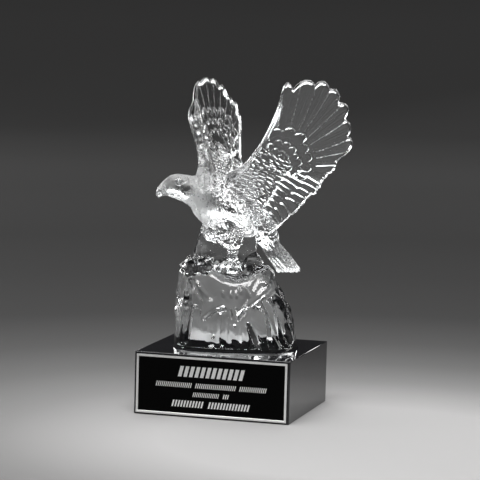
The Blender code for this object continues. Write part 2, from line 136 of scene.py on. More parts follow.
# Sections of body, head and tail: top ahead and up, bottom ahead and up, half width
BODY_SECTIONS = (
    (34, 101, 35, 94, 3), (30.5, 107, 32, 89, 9), (25, 109.5, 26.5, 82.5, 12.5), (16, 109, 17.5, 78, 14),
    (6, 106, 5, 75.5, 14.5), (-5, 100, -7, 73, 13.5), (-15, 92, -17, 70, 11.5), (-24, 83, -26, 64, 9),
    (-31, 74, -31, 62, 5),
)
HEAD_SECTIONS = (
    (-13, 101, -11, 88, 5), (-6, 107.5, -8, 81, 9.5), (1.2, 110.3, -1, 84.5, 11), (6.6, 111.2, 5, 90.6, 10),
    (12.7, 112.1, 11, 94.9, 8.8), (17, 112, 16, 96.8, 8), (20.5, 110.8, 20.3, 98, 6.8),
    (23.6, 108.6, 23.3, 98.3, 5), (26.2, 105.6, 24.8, 98.1, 3.4), (28.3, 102.6, 25.8, 97.6, 2.3),
    (29, 99.8, 26.6, 97, 1.4), (28.2, 97.6, 27.2, 96.6, 0.7),
)
TAIL_SECTIONS = (
    (-14, 80, -19, 66, 5), (-23, 76.5, -26.4, 62.1, 7.5), (-30, 68, -31.5, 56, 9.4),
    (-37.5, 59.5, -37.6, 51, 11.2), (-44.5, 50.5, -42.5, 46.5, 12.6),
)
TAIL_FEATHERS = 5
# The tail's far side hangs lower and reaches further back, by these shares of the way to it
TAIL_TWIST = 0.24
TAIL_SKEW = 0.12

# Places on the side of the head, ahead and up: points, then lines from end to end
EYE = (14.5, 107.6)
EYE_ASIDE = 7.6
SOCKET = (14.5, 107.4)
NOSTRIL = (23.4, 104.6)
CHEEK = (8.6, 103)
GAPE = (15, 100.6, 25.4, 99.8)
BROW = (9, 109.6, 18.6, 109.4)
CERE = (20.6, 112, 19.4, 99)

# Rock: height, middle across, half width and half depth
ROCK_SECTIONS = (
    (0, 1.5, 40.2, 26.7), (1.2, 1.5, 39.95, 26.5), (3, 1.4, 39.6, 26.2), (8, 1.2, 38.9, 25.6),
    (18, 0.2, 37.3, 24.6), (28, -1.2, 35.6, 23.4), (36, -3.2, 33.2, 22.2), (44, -4.7, 31.6, 20.6),
    (49, -5.4, 30.4, 18.6), (52.5, -5, 26, 14), (54, -5, 18, 8),
)
# Marks in the rock's front: across and up from one end to the other, width at each end, depth
ROCK_MARKS = (
    (-8.6, 27, -7, 27.7, 1.3, 1.3, 1.9), (-6.2, 27.4, -5, 26, 0.9, 0.7, 1.2),
    (16, 3, 31, 2, 3.6, 4.4, -1.7), (-28, 2, -2, 1.6, 2.2, 1.8, -0.7), (11.6, 16.6, 17, 7, 0.8, 0.9, -0.9),
    (12.4, 5.5, 12, 0, 0.7, 1.2, 1.4), (7, 28, 20.4, 41.5, 0.9, 4.2, -2.6),
    (8, 28.4, 17.4, 41.4, 0.9, 2, 1.2), (2.9, 21.6, 6.5, 25.7, 1.3, 1.2, 1.9),
    (4.2, 23.2, 5.2, 24.4, 0.6, 0.6, -1), (13, 28.7, 17.5, 27.4, 0.7, 0.7, 1.7),
    (13.2, 28.9, 15, 31, 0.7, 0.5, 1.2), (0.8, 16.4, 0.9, 16.3, 0.9, 0.9, 2),
    (-13.6, 8.8, -12.3, 9.9, 0.7, 0.7, 1.6), (1.1, 27.2, 1.2, 26.4, 0.8, 0.8, 1.3),
    (-2.3, 26.7, -1.2, 21.5, 0.6, 0.6, 1.2), (-27, 27.7, -24.2, 27.2, 0.7, 0.7, 1.4),
    (-20.8, 32.3, -21, 20.4, 0.6, 0.4, 0.8), (18.8, 34, 31.4, 2.2, 1, 1.5, 1.9),
    (21.8, 31, 30.8, 4, 1.2, 1.5, -1.2), (26, 33, 35.4, 5, 0.9, 1.4, 1.6), (29.4, 33, 38, 6, 0.9, 1.1, -1),
    (31, 34, 40, 4, 0.8, 1, 1.3), (-6.4, 0, -6.2, 23, 1.7, 1.2, -1), (-9.2, 0, -8.5, 23, 0.8, 0.7, 1.2),
    (-3.8, 0, -3.8, 22, 0.8, 0.6, 0.7), (3.9, 1, 4.3, 13, 0.8, 0.6, 0.8),
    (-30.6, 3, -28.4, 40, 1.2, 1.4, 2.2), (-33.4, 3, -31.4, 36, 1, 1.2, -1.4),
    (-13, 4.4, -9.6, 0, 2.4, 2, 0.9), (-15, 35, -17, 46, 2.4, 3.4, 1), (-6.8, 38.2, -6.8, 36, 0.7, 0.9, -1),
    (-2, 37.4, -2, 35.4, 0.7, 0.9, -0.9), (1.4, 37.4, 1.4, 35.2, 0.7, 0.9, -0.9),
    (4.1, 43, 4.1, 38.4, 0.8, 1.1, -1.1), (7.4, 42.6, 9.2, 35.6, 0.8, 1.1, -1.1),
    (-27, 43, -21, 33, 1.6, 1, 1.4), (-24, 43, -17.5, 35, 1, 0.8, -1),
)
# Chisel cuts with a long lower face: across and up from end to end, height at each end, depth
ROCK_CUTS = (
    (-9.9, 26.4, -18.8, 19.6, 2.6, 2.4, 1.9), (9.2, 18, 17, 1, 1.6, 5, 6.4),
    (6.2, 26, 3, 22.4, 2.6, 2.4, 1.9), (21, 24, 25.5, 1, 1.6, 3.2, 4.6), (25.5, 34, 33.5, 2, 1.4, 3, 4),
    (-29, 45, -31, 4, 1.6, 2.4, 3.6), (-28.4, 28.6, -24.4, 28, 1.4, 1.4, 1.5),
    (12.6, 29.4, 17.8, 28.2, 1.4, 1.4, 1.5),
)
CUT_WALL = 0.9
CUT_END = 1.2
# Marks fade towards the ends of the front, flutes towards foot and rim. Flutes: number all round, and lean
MARK_SPREAD = 1.6
FOOT_HEIGHT = 2.4
FLUTE_SPAN = 48
FLUTE_DEPTH = 0.45
FLUTES = ((17, 0.06), (11, -0.09))
ROCK_SQUARENESS = 2.6
RIM_DIP = 8
RIM_DIP_ACROSS = 2
RIM_DIP_REACH = 15
RIM_DIP_FROM = 38
RIM_DIP_SPAN = 16

# Lumps of the rock's top: middle and half sizes, ahead, left and up from the bird
LUMPS = (
    (27.5, -9.5, 51.5, 6.5, 6, 6.2), (21.5, -4, 53, 5.5, 6, 5.2), (23, -17, 50.5, 6, 7, 6.4),
    (-14, 0.5, 53, 7, 7.5, 7.6), (5, -14, 50.5, 9, 7, 5),
)
# Small knobs on them: middle and radius
KNOBS = (
    (30.5, -6, 56, 2.8), (27, -12.5, 57.4, 2.6), (33.2, -10, 51.5, 2.4), (24, -4, 58.2, 2.6),
    (30, -15, 53, 2.6), (19, -1, 57, 2.4),
)
LEG_SPREAD = 6.6
THIGH_SECTIONS = (
    (17, 93, 4, 93, 3.5), (20, 85, 1.5, 83, 6), (21, 77, 1.2, 74, 6.4), (17.5, 70, 2, 68, 5),
    (11, 66, 4.5, 65.5, 2.6),
)
SHIN_PATH = ((8.4, 0, 73, 3.2), (8, 0.2, 66, 2.8), (7.4, 0.3, 59, 2.6), (7.6, 0.3, 50, 3.2))
TOE_HEEL = (7.4, 53.6)
TOE_RADIUS = 1.9
TOES = ((-27, 9.3), (3, 10.8), (33, 9.7), (171, 7.1))
TOE_ARCH = ((0.1, 0.4, 1), (0.35, 1.6, 1), (0.7, 0.6, 0.85), (0.92, -1.8, 0.5), (1, -3.6, 0.2))
# Pinnacle under the breast: height, middle across and towards the front, half width and half depth
WEB_SECTIONS = (
    (42, -6, 1, 18, 8), (50, -6, 2, 19, 8), (57, -5.8, 3.4, 20.4, 7.4), (61, -5.6, 4.2, 20.2, 7),
    (66, -5, 5, 19.6, 6.6), (72, -4.6, 6.2, 18.6, 6.6), (79, -4, 8, 17, 7), (86, -3, 8, 14, 7),
)

# How fine the skins are, and how they are pulled in and out again while they relax
BODY_VOXEL = 0.00078
CREST_VOXEL = 0.001
RELAX_PULLS = (0.6, -0.45)


def smooth(points, count):
    """Samples a Catmull-Rom curve through the points, ends included."""
    last = len(points) - 1
    out = []
    for step in range(count):
        place = last * step / (count - 1)
        low = min(int(place), last - 1)
        t = place - low
        near = [points[min(max(low + k, 0), last)] for k in (-1, 0, 1, 2)]
        out.append([0.5 * (2 * b + (c - a) * t + (2 * a - 5 * b + 4 * c - d) * t ** 2
                           + (3 * b - a - 3 * c + d) * t ** 3) for a, b, c, d in zip(*near)])
    return out


def bird_axes(heading, ahead=0):
    """Origin and axes, as rows, of units ahead, to the left and up from the block's top."""
    forward = np.array((cos(BIRD_HEADING), sin(BIRD_HEADING), 0))
    origin = (np.array((*BIRD_PLACE, 0)) + forward * ahead) * UNIT
    origin[2] = BLOCK_HEIGHT + GLUE_GAP
    rows = ((cos(heading), sin(heading), 0), (-sin(heading), cos(heading), 0), (0, 0, 1))
    return origin, np.array(rows)


# Axes of body and head
BIRD = bird_axes(BIRD_HEADING)
HEAD = bird_axes(HEAD_HEADING, NECK_AHEAD)


def place(spots, axes):
    """World points from unit coordinates."""
    return axes[0] + np.asarray(spots) @ axes[1] * UNIT


def measure(points, axes):
    """Unit coordinates of world points."""
    return ((points - axes[0]) @ axes[1].T / UNIT).T


def step_up(x, low, high):
    """0 below low, 1 above high, smooth in between."""
    t = np.clip((x - low) / (high - low), 0, 1)
    return t * t * (3 - 2 * t)


def between(x, start, full, fade, end):
    """1 from full to fade, 0 before start and past end, smooth in between."""
    return step_up(x, start, full) * (1 - step_up(x, fade, end))


def bell(x, width):
    """A rounded bump of height 1."""
    return np.exp(-(x / width) ** 2)


def distance(x, y, spot):
    """How far points lie from a spot."""
    return np.hypot(x - spot[0], y - spot[1])


def circle(sides):
    """Even angles once round."""
    return np.arange(sides) * 2 * pi / sides


def link(name, data):
    """A new object in the scene."""
    made = bpy.data.objects.new(name, data)
    bpy.context.collection.objects.link(made)
    return made


def finish(name, mesh):
    """Turns a bmesh into an object with its faces looking outwards."""
    bmesh.ops.recalc_face_normals(mesh, faces=mesh.faces)
    data = bpy.data.meshes.new(name)
    mesh.to_mesh(data)
    mesh.free()
    return link(name, data)


def bands(mesh, rows, closed=0):
    """Adds rings of vertices with faces in between, also from last to first if closed is 1."""
    rings = [[mesh.verts.new(p) for p in row] for row in rows]
    for low, high in zip(rings, rings[1:] + rings[:closed]):
        for k in range(len(low)):
            n = (k + 1) % len(low)
            mesh.faces.new((low[k], low[n], high[n], high[k]))
    return rings


def solid(rows, name="part"):
    """A closed skin over rings of equal length, with a fan over each end."""
    mesh = bmesh.new()
    rings = bands(mesh, rows)
    for ring, row in ((rings[0], rows[0]), (rings[-1], rows[-1])):
        tip = mesh.verts.new(np.mean(row, axis=0))
        for k in range(len(ring)):
            mesh.faces.new((ring[k], ring[(k + 1) % len(ring)], tip))
    return finish(name, mesh)


def hoop(name, rows):
    """A ring-shaped skin over rings of equal length."""
    mesh = bmesh.new()
    bands(mesh, rows, 1)
    return finish(name, mesh)


def loft(sections, axes, rings, sides, side=0, skew=0, twist=0):
    """Skins sections of top, bottom and half width. Skew and twist shift the end's far side."""
    turn = circle(sides)
    rows = []
    for ring, (top_a, top_z, low_a, low_z, width) in enumerate(smooth(sections, rings)):
        far = np.minimum(np.sin(turn), 0) * width * ring / (rings - 1)
        a = (top_a + low_a) / 2 + (top_a - low_a) / 2 * np.cos(turn) + skew * far
        z = (top_z + low_z) / 2 + (top_z - low_z) / 2 * np.cos(turn) + twist * far
        rows.append(place(np.stack((a, side + np.sin(turn) * width, z), axis=1), axes))
    return solid(rows)


def lump(axes, middle, sizes, rings=24, sides=36):
    """A rounded lump with half sizes ahead, left and up."""
    turn = circle(sides)
    rows = []
    for i in range(1, rings):
        tilt = pi * i / rings
        spots = np.stack((middle[0] + sizes[0] * sin(tilt) * np.cos(turn),
                          middle[1] + sizes[1] * sin(tilt) * np.sin(turn),
                          np.full(sides, middle[2] + sizes[2] * cos(tilt))), axis=1)
        rows.append(place(spots, axes))
    return solid(rows)


def tube(axes, path, rings, sides, side=0):
    """A round limb along a path of points ahead, left and up, each with its radius."""
    spots = smooth(path, rings)
    rows = []
    across = (Vector(spots[1][:3]) - Vector(spots[0][:3])).orthogonal()
    for k, (a, l, z, radius) in enumerate(spots):
        before = Vector(spots[max(k - 1, 0)][:3])
        after = Vector(spots[min(k + 1, rings - 1)][:3])
        line = (after - before).normalized()
        across = (across - line * across.dot(line)).normalized()
        up = line.cross(across)
        row = []
        for n in range(sides):
            turn = 2 * pi * n / sides
            row.append(Vector((a, l + side, z)) + (across * cos(turn) + up * sin(turn)) * radius)
        rows.append(place(row, axes))
    return solid(rows)


def toe(axes, angle, length, side):
    """A toe that arches forward from the heel and bends down into its claw."""
    turn = radians(angle)
    ahead, height = TOE_HEEL
    path = []
    for share, lift, thick in TOE_ARCH:
        far = length * share
        path.append((ahead + far * cos(turn), far * sin(turn), height + lift, TOE_RADIUS * thick))
    return tube(axes, path, 26, 16, side)


def segment_share(x, y, x0, y0, x1, y1):
    """How far along a segment the nearest point lies, and the distance to it."""
    dx = x1 - x0
    dy = y1 - y0
    t = np.clip(((x - x0) * dx + (y - y0) * dy) / (dx * dx + dy * dy), 0, 1)
    return t, np.hypot(x - x0 - dx * t, y - y0 - dy * t)


def scales(u, v, wander=0):
    """Height of overlapping rounded feathers, one unit in size, that point towards +v."""
    u = u + wander * np.sin(v * 0.9 + 1.3 * np.sin(u * 0.37))
    v = v + wander * np.sin(u * 0.8 + 1.7 * np.sin(v * 0.53))
    height = np.zeros_like(u)
    for k in (1, 0, -1):
        row = np.floor(v) + k
        shifted = u + 0.5 * np.mod(row, 2)
        off = np.abs(shifted - np.round(shifted)) * 2
        edge = row + 0.7 * np.sqrt(np.clip(1 - off ** 2, 0, 1))
        dome = np.clip(1.25 - 0.9 * np.clip(edge - v, 0, 1.2), 0, 1) * (1 - off ** 4)
        height = np.where(v < edge, dome, height)
    return height


def polar(angle, reach):
    """A point of the wing's plane from its angle and distance about the fan centre."""
    turn = radians(angle)
    return (FAN_CENTRE[0] + reach * cos(turn), FAN_CENTRE[1] + reach * sin(turn))


def wing_outline(spec, fine=3):
    """The wing's closed outline, with rounded feather tips between notches."""
    points = smooth([polar(*p) for p in spec["leading"]], 15 * fine)
    stops = [points[-1], *(polar(*p) for p in spec["notches"]), polar(*spec["trailing"][0])]
    steps = 5 * fine
    for (x0, y0), (x1, y1), tip in zip(stops, stops[1:], spec["tips"]):
        tx, ty = polar(*tip)
        for step in range(1, steps + 1):
            t = step / steps
            bow = 1 - abs(2 * t - 1) ** TIP_SQUARENESS
            cx = x0 + (x1 - x0) * t
            cy = y0 + (y1 - y0) * t
            points.append((cx + (tx - (x0 + x1) / 2) * bow, cy + (ty - (y0 + y1) / 2) * bow))
    points += smooth([polar(*p) for p in spec["trailing"] + WING_HEEL[:2]], 24 * fine)[1:]
    points += smooth([polar(*p) for p in WING_HEEL[1:]], 5 * fine)[1:-1]
    return np.array(points)


def along_beads(x, y):
    """How far along the line of beads points lie, and how far past it, negative towards the arm."""
    nearest = np.full(x.shape, 1e9)
    along = np.zeros(x.shape)
    past = np.zeros(x.shape)
    run = 0
    for (x0, y0), (x1, y1) in zip(BEADS, BEADS[1:]):
        t, away = segment_share(x, y, x0, y0, x1, y1)
        length = hypot(x1 - x0, y1 - y0)
        side = np.sign((x1 - x0) * (y - y0) - (y1 - y0) * (x - x0))
        closer = away < nearest
        nearest = np.where(closer, away, nearest)
        along = np.where(closer, run + t * length, along)
        past = np.where(closer, side * away, past)
        run += length
    return along, past


def from_line(place, start, pitch):
    """Distance to the nearest of evenly spaced lines."""
    return np.abs(np.mod(place - start + pitch / 2, pitch) - pitch / 2)


def rib_distance(along, past):
    """Distance to the nearest rib of the outer cells."""
    lean = np.interp(along, *np.transpose(RIB_LEAN))
    bend = np.where(lean < 0, 1 - past / RIB_BEND, 1)
    return from_line(along - lean * past * bend, RIB_START, RIB_PITCH)


def rod_distance(x, y, spec):
    """Distance to the rod along the wing's leading edge."""
    path = [polar(*p) for p in spec["leading"][:-1]]
    return np.min([segment_share(x, y, *low, *high)[1] for low, high in zip(path, path[1:])], axis=0)


def scallop(outline):
    """Notches the trailing edge between the tips of the secondaries."""
    along, past = along_beads(outline[:, 0], outline[:, 1])
    within = between(along, CELLS_FROM - 2, CELLS_FROM, CELLS_TO - 1, CELLS_TO + 1)
    cut = NOTCH_DEPTH * bell(rib_distance(along, past), NOTCH_WIDTH) * within * (past > 4)
    inward = np.array(GRID_CENTRE) - outline
    return outline + inward * (cut / np.linalg.norm(inward, axis=1))[:, None]


def wing_half(x, y, to_rim, spec, soft):
    """Half the wing's thickness with its relief, and where its raised lines are."""
    dx = x - FAN_CENTRE[0]
    dy = y - FAN_CENTRE[1]
    reach = np.hypot(dx, dy)
    angle = np.degrees(np.arctan2(dy, dx))
    angle = np.where(angle < -115, angle + 360, angle)
    half = WING_THIN + WING_THICK * bell(distance(x, y, WING_SHOULDER), SHOULDER_REACH)
    rod = rod_distance(x, y, spec)
    width = spec["rod"]
    free = step_up(rod, 0.9 * width, 1.5 * width)
    half += spec["rod_rise"] * bell(rod - 0.3 * width, width)

    # Fan of primaries: a thin raised line between two feathers, fainter ones along each
    fine = 0.5 * soft
    out = step_up(reach, 26, 29) * free * step_up(angle, 46, 51)
    share = (reach - RIDGE_FROM) / (RIDGE_TO - RIDGE_FROM)
    lines = [near + (far - near) * share for near, far in spec["ridges"]]
    ridges = np.zeros(x.shape)
    for line in lines:
        ridges = np.maximum(ridges, out * bell(np.radians(angle - line) * reach, fine))
    half += spec["lines"] * ridges
    for high, low in zip(lines, lines[1:]):
        within = out * (angle < high) * (angle > low)
        t = np.clip((angle - low) / (high - low), 0, 1)
        arch = np.sin(pi * t)
        half += within * (0.16 * arch - 0.1 * bell((t - 0.5) * np.radians(high - low) * reach, fine))
        half += within * 0.04 * np.sin(t * 36 + reach * 0.4) * arch / soft

    # Rows of coverts, each a step down to the next behind a raised lip
    lips = np.zeros(x.shape)
    fan = np.where(reach < 8, free, free * between(angle, 20, 26, 162, 172))
    for first, step, reaches in spec["coverts"]:
        edge = np.full(x.shape, -1e9)
        for k, far in enumerate(reaches):
            off = np.clip(np.abs(angle - first + step * k) / (step * 0.53), 0, 1)
            edge = np.maximum(edge, far - 0.2 * far * (1 - np.sqrt(1 - off ** 2)) - 100 * (off >= 1))
        inside = edge - reach
        half += fan * COVERT_STEP * step_up(inside, -0.3 * soft, 0.3 * soft)
        lips = np.maximum(lips, fan * bell(inside - 0.45, fine) * step_up(reach, 8, 11))
    half += 0.2 * lips

    # Secondaries: two rows of flat cells between ribs, with a line of beads between the rows
    along, past = along_beads(x, y)
    cells = between(along, CELLS_FROM - 1, CELLS_FROM + 1, CELLS_TO - 1, CELLS_TO + 1) * free
    inner_edge = past + np.interp(along, *np.transpose(CELL_DEPTH))
    inner_rib = from_line(along, INNER_START, INNER_PITCH)
    outer = step_up(past, 0, 1.2) * bell(rib_distance(along, past), fine)
    inner = (1 - step_up(past, -1.2, 0)) * step_up(inner_edge, -0.4, 0.4) * bell(inner_rib, fine)
    beads = bell(np.hypot(from_line(along, RIB_START, RIB_PITCH), past), 1.2 * soft)
    knots = bell(np.hypot(inner_rib, inner_edge), 1.1 * soft)
    seam = np.maximum(bell(past, 0.8 * soft), bell(inner_edge, 0.8 * soft))
    ribs = cells * np.maximum(outer, inner)
    beads = cells * np.maximum(np.maximum(beads, knots), 0.5 * seam)
    half = half + 0.34 * ribs + 0.6 * beads

    # Small feathers of the arm, below and in front of the fan centre
    bare = 1 - step_up(reach, 9, 12)
    below = step_up(-dy, 1, 7) * (1 - cells * step_up(inner_edge, -1, 0))
    arm = np.clip(bare + below + step_up(angle, 154, 162), 0, 1) * free
    half += arm * 1.15 / soft * scales(y / 2.9 - x * 0.1, x / 4.8, 0.5)
    half += arm * 0.25 * bell(np.mod(y - x * 0.35, 8) - 4, 1.6)

    # Thickened lip, rounded off at the rim
    half += 0.3 * bell(to_rim - 0.9, 0.6) * step_up(reach, 20, 30)
    round_off = np.clip(to_rim / RIM_ROUND, 0, 1)
    half *= np.sqrt(1 - (1 - round_off) ** 2)
    return half, np.maximum(np.maximum(0.8 * ridges, lips), np.maximum(ribs, 0.9 * beads))


def even_spacing(outline, gap):
    """The same closed line with its points a gap apart."""
    closed = np.vstack((outline, outline[:1]))
    run = np.concatenate(((0,), np.cumsum(np.linalg.norm(np.diff(closed, axis=0), axis=1))))
    stops = np.linspace(0, run[-1], ceil(run[-1] / gap), endpoint=False)
    return np.stack([np.interp(stops, run, line) for line in closed.T], axis=1)


def wing_cells(outline, gap):
    """A flat mesh inside the outline: its points, their depths and its faces."""
    count = len(outline)
    centre = np.array(GRID_CENTRE)
    ray = outline - centre
    length = np.linalg.norm(ray, axis=1)
    rings = [centre + ray * (1 - d / length)[:, None] for d in RIM_STEPS]
    low = outline.min(axis=0)
    high = outline.max(axis=0)
    step = gap * 0.866
    inner = []
    for j in range(int((high[1] - low[1]) / step)):
        x = np.arange(low[0] + (j % 2) * gap / 2, high[0], gap)
        inner.append(np.stack((x, np.full(len(x), low[1] + j * step)), axis=1))
    inner = np.concatenate(inner)
    turn = np.arctan2(ray[:, 1], ray[:, 0])
    order = np.argsort(turn)
    spoke = inner - centre
    limit = np.interp(np.arctan2(spoke[:, 1], spoke[:, 0]), turn[order], length[order], period=2 * pi)
    depth = limit - np.linalg.norm(spoke, axis=1)
    keep = depth > RIM_STEPS[-1] + gap * 0.6

    edge = [(k, (k + 1) % count) for k in range(count)]
    flat = [Vector(p) for p in np.concatenate((rings[-1], inner[keep]))]
    spots, _, cells, _, _, _ = delaunay_2d_cdt(flat, edge, [], 1, 1e-7)
    points = np.concatenate(rings[:-1] + [np.array(spots)])
    depths = np.concatenate([np.full(count, d) for d in RIM_STEPS] + [depth[keep]])
    first = count * (len(RIM_STEPS) - 1)
    faces = [(start + a, start + b, start + count + b, start + count + a)
             for start in range(0, first, count) for a, b in edge]
    faces += [tuple(first + k for k in cell) for cell in cells]
    return points, depths, faces


def wing_plane():
    """The wing's axes as rows: across its feathers' rows, out along it, and off its face."""
    chord = Vector(CHORD_AXIS).normalized()
    span = Vector(SPAN_AXIS)
    span = (span - chord * span.dot(chord)).normalized()
    normal = chord.cross(span)
    normal *= -1 if normal.y < 0 else 1
    return np.array((chord, span, normal))


def wing(side, spec):
    """A closed plate between two skins that meet in a rounded rim."""
    outline = scallop(even_spacing(wing_outline(spec), OUTLINE_GAP))
    inward = np.array(GRID_CENTRE) - outline
    outline = outline + inward * RIM_INSET / np.linalg.norm(inward, axis=1)[:, None]
    plane = wing_plane()
    mesh = bmesh.new()
    rim = []
    for face, gap, soft in ((spec["seen"], spec["gaps"][0], 1), (-spec["seen"], spec["gaps"][1], 2)):
        points, depths, faces = wing_cells(outline, gap)
        x, y = points.T
        half, _ = wing_half(x, y, depths, spec, soft)
        units = np.array(WING_ROOT) + np.stack((x, y, face * half), axis=1) @ plane
        units[:, 1] *= side
        verts = rim + [mesh.verts.new(p) for p in place(units, BIRD)[len(rim):]]
        for corners in faces:
            mesh.faces.new([verts[k] for k in corners])
        rim = verts[:len(outline)]
    return finish("wing", mesh)


def on_wing(units, side):
    """Places in a wing's plane and how far off it, from places measured from the bird."""
    return wing_plane() @ (units * (1, side, 1) - np.array(WING_ROOT)).T


def rock_spots(x, y, z):
    """World points from units across, to the back and up on the block's top."""
    spots = (x[:, None] * ROCK_ACROSS + y[:, None] * ROCK_BACK) * UNIT
    spots[:, 2] = BLOCK_HEIGHT + GLUE_GAP + np.maximum(z, 0) * UNIT
    return spots


def ripple(x, y, z, size):
    """Smooth noise at each point, from -1 to 1."""
    return np.array([noise.noise(Vector(p) / size) for p in np.stack((x, y, z), axis=1)])


def rock_outline(turn, middle, half_width, half_depth):
    """A ring round the rock, between an ellipse and a rectangle."""
    c = np.cos(turn)
    s = np.sin(turn)
    length = (np.abs(c) ** ROCK_SQUARENESS + np.abs(s) ** ROCK_SQUARENESS) ** (-1 / ROCK_SQUARENESS)
    return middle + half_width * c * length, -half_depth * s * length


def rock_ring(turn, height, form):
    """One ring of the rock's side: smooth at the back, folded at its ends, marked in front."""
    x, y = rock_outline(turn, *form)
    if height < FOOT_HEIGHT - 0.5:
        return x, y
    c = np.cos(turn)
    s = np.sin(turn)
    side = 0.5 - 0.5 * cos(2 * pi * min(max((height - FOOT_HEIGHT) / FLUTE_SPAN, 0), 1))
    ends = step_up(np.abs(c), 0.72, 0.95)
    flutes = sum(np.cos(number * turn + height * lean) for number, lean in FLUTES)
    inward = FLUTE_DEPTH * side * (0.25 + 0.75 * ends) * flutes
    level = np.full(turn.shape, float(height))
    if height > FOOT_HEIGHT:
        wave = 1.2 * ripple(x, y, level * 0.5, 7) + 0.35 * ripple(x, y, level, 3)
        inward += side * wave * (0.15 + 2.9 * ends * (s > -0.6))
        inward += side * 1.8 * ripple(x, y + 30, level * 0.8, 13)
        columns = between(level, 2, 8, 8, 26) * between(x, -20, -14, 6, 10)
        inward += 0.6 * columns * (s > 0.3) * np.sin(x * 2 * pi / 7.5 + level * 0.05)
    front = np.clip(s * MARK_SPREAD, 0, 1)
    for x0, z0, x1, z1, w0, w1, depth in ROCK_MARKS:
        t, away = segment_share(x, level, x0, z0, x1, z1)
        width = w0 + (w1 - w0) * t
        inward += depth * (bell(away, width) - 0.2 * bell(away - 1.9 * width, 0.5 * width)) * front
    for x0, z0, x1, z1, h0, h1, depth in ROCK_CUTS:
        t, away = segment_share(x, level, x0, z0, x1, z1)
        above = ((x1 - x0) * (level - z0) - (z1 - z0) * (x - x0)) / hypot(x1 - x0, z1 - z0)
        past = np.sqrt(np.maximum(away ** 2 - above ** 2, 0))
        slope = np.where(above > 0, 1 - above / CUT_WALL, 1 + above / (h0 + (h1 - h0) * t))
        inward += depth * step_up(slope - past / CUT_END, 0, 1) * front
    return x - inward * c, y + inward * s


def rock(rings=79, front=180, rear=40):
    """The rock, lofted up from its flared foot to its rounded top."""
    turn = np.concatenate((np.arange(front) * pi / front, pi + np.arange(rear) * pi / rear))
    rows = []
    for k, (height, *form) in enumerate(smooth(ROCK_SECTIONS, 2 * rings - 1)):
        # Twice as many rings where the marks are
        if k % 2 and not 17 < height < 29:
            continue
        x, y = rock_ring(turn, height, form)
        lift = max(height - RIM_DIP_FROM, 0) / RIM_DIP_SPAN
        dip = np.maximum(np.sin(turn), 0) * bell(x - RIM_DIP_ACROSS, RIM_DIP_REACH)
        rows.append(rock_spots(x, y, height - RIM_DIP * lift * dip))
    return solid(rows)


def web(rings=30, sides=60):
    """The clear pinnacle of rock that holds the breast up."""
    turn = circle(sides)
    rows = []
    for height, across, forward, width, depth in smooth(WEB_SECTIONS, rings):
        fold = 1 + 0.05 * np.cos(5 * turn + height * 0.05)
        rows.append(rock_spots(across + width * np.cos(turn) * fold, depth * np.sin(turn) * fold - forward,
                               np.full(sides, height)))
    return solid(rows)


def drop(pieces):
    """Removes objects that a finished piece was made from."""
    for piece in pieces:
        data = piece.data
        bpy.data.objects.remove(piece, do_unlink=True)
        bpy.data.meshes.remove(data)


def baked(name, piece, others=()):
    """A new object with the piece's modifiers applied."""
    bpy.context.view_layer.update()
    view = bpy.context.evaluated_depsgraph_get()
    data = bpy.data.meshes.new_from_object(piece.evaluated_get(view))
    drop([piece, *others])
    data.name = name
    data.materials.clear()
    return link(name, data)


def union(name, pieces):
    """Fuses closed solids into one."""
    base = pieces[0]
    tools = bpy.data.collections.new("tools")
    bpy.context.scene.collection.children.link(tools)
    for piece in pieces[1:]:
        tools.objects.link(piece)
    fuse = base.modifiers.new("fuse", "BOOLEAN")
    fuse.operation = "UNION"
    fuse.solver = "MANIFOLD"
    fuse.operand_type = "COLLECTION"
    fuse.collection = tools
    made = baked(name, base, pieces[1:])
    bpy.data.collections.remove(tools)
    return made


def melted(name, pieces, voxel):
    """One skin over pieces that overlap, with the creases between them filled."""
    mesh = bmesh.new()
    for piece in pieces:
        mesh.from_mesh(piece.data)
    drop(pieces)
    made = finish(name, mesh)
    skin = made.modifiers.new("skin", "REMESH")
    skin.mode = "VOXEL"
    skin.voxel_size = voxel
    return baked(name, made)


def vectors(data, kind="co"):
    """The places of a mesh's vertices, or their normals, as rows."""
    flat = np.empty(len(data.vertices) * 3)
    data.vertices.foreach_get(kind, flat)
    return flat.reshape(-1, 3)


def move(data, spots):
    """Puts a mesh's vertices at new places."""
    data.vertices.foreach_set("co", spots.ravel())
    data.update()


def relax(data, rounds, weight):
    """Moves each vertex towards the middle of its neighbours, by its weight."""
    spots = vectors(data)
    count = len(spots)
    ends = np.empty(len(data.edges) * 2, int)
    data.edges.foreach_get("vertices", ends)
    a, b = ends.reshape(-1, 2).T
    degree = np.bincount(ends, minlength=count)[:, None]
    share = weight(spots)[:, None]
    for n in range(rounds):
        total = np.stack([np.bincount(a, spots[b, k], count) + np.bincount(b, spots[a, k], count)
                          for k in range(3)], axis=1)
        spots = spots + (total / degree - spots) * RELAX_PULLS[n % 2] * share
    move(data, spots)


def displace(data, relief):
    """Moves each vertex along its normal by the relief at its place, in units."""
    spots = vectors(data)
    move(data, spots + vectors(data, "normal") * relief(spots)[:, None] * UNIT)


def bird_softness(spots):
    """How far each part of the bird is relaxed: all but the beak and the end of the tail."""
    beak = step_up(measure(spots, HEAD)[0], 17, 22)
    return (1 - 0.8 * beak) * step_up(measure(spots, BIRD)[0], -44, -34)


